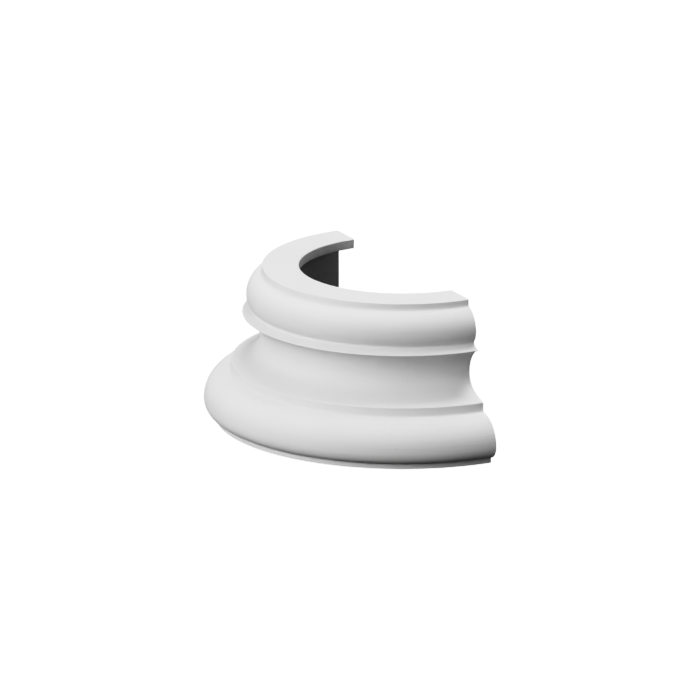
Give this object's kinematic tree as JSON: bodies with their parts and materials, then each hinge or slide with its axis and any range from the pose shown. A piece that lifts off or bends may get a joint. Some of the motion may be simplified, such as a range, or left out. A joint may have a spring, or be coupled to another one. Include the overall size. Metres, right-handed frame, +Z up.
{
  "type": "half column base",
  "caption": "Half-round moulded column base with an upper and a lower torus, scotia, fillets and a sharp rim, hollow behind, with a lip round the shaft opening.",
  "frame": {"origin": "on the column's axis, in the plane of the two cut ends, at the underside", "axes": "+Z up along the column's axis; +X along the cut plane, across the width; the mouldings face -Y and the cut ends face the wall, +Y"},
  "size_m": [0.4, 0.2, 0.157],
  "materials": {
    "primed_foam": "matt white factory primer"
  },
  "bodies": {
    "root": {"column_base": "primed_foam"}
  },
  "joints": []
}
